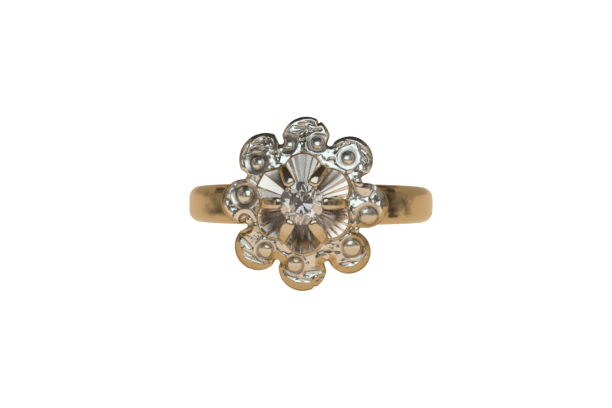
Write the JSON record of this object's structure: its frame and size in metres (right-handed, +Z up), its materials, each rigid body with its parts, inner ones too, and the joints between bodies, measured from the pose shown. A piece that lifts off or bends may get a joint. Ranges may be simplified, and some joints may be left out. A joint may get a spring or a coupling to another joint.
{
  "type": "flower ring",
  "caption": "Finger ring with a flower head: a petalled plate round a scalloped cup whose claws hold a round brilliant stone.",
  "frame": {"origin": "middle of the base of the ring's box, on the surface that the ring lies on", "axes": "+Z up from that surface; the head faces -Y and tips up with the ring; +X is across the head, to the right seen from the front"},
  "size_m": [0.02, 0.0256, 0.0133],
  "materials": {
    "yellow_gold": "soft polished yellow gold",
    "white_gold": "engraved and polished white gold",
    "diamond": "clear cut stone"
  },
  "bodies": {
    "root": {"band": "yellow_gold", "flower": "white_gold", "setting": "white_gold", "stone": "diamond"}
  },
  "joints": []
}
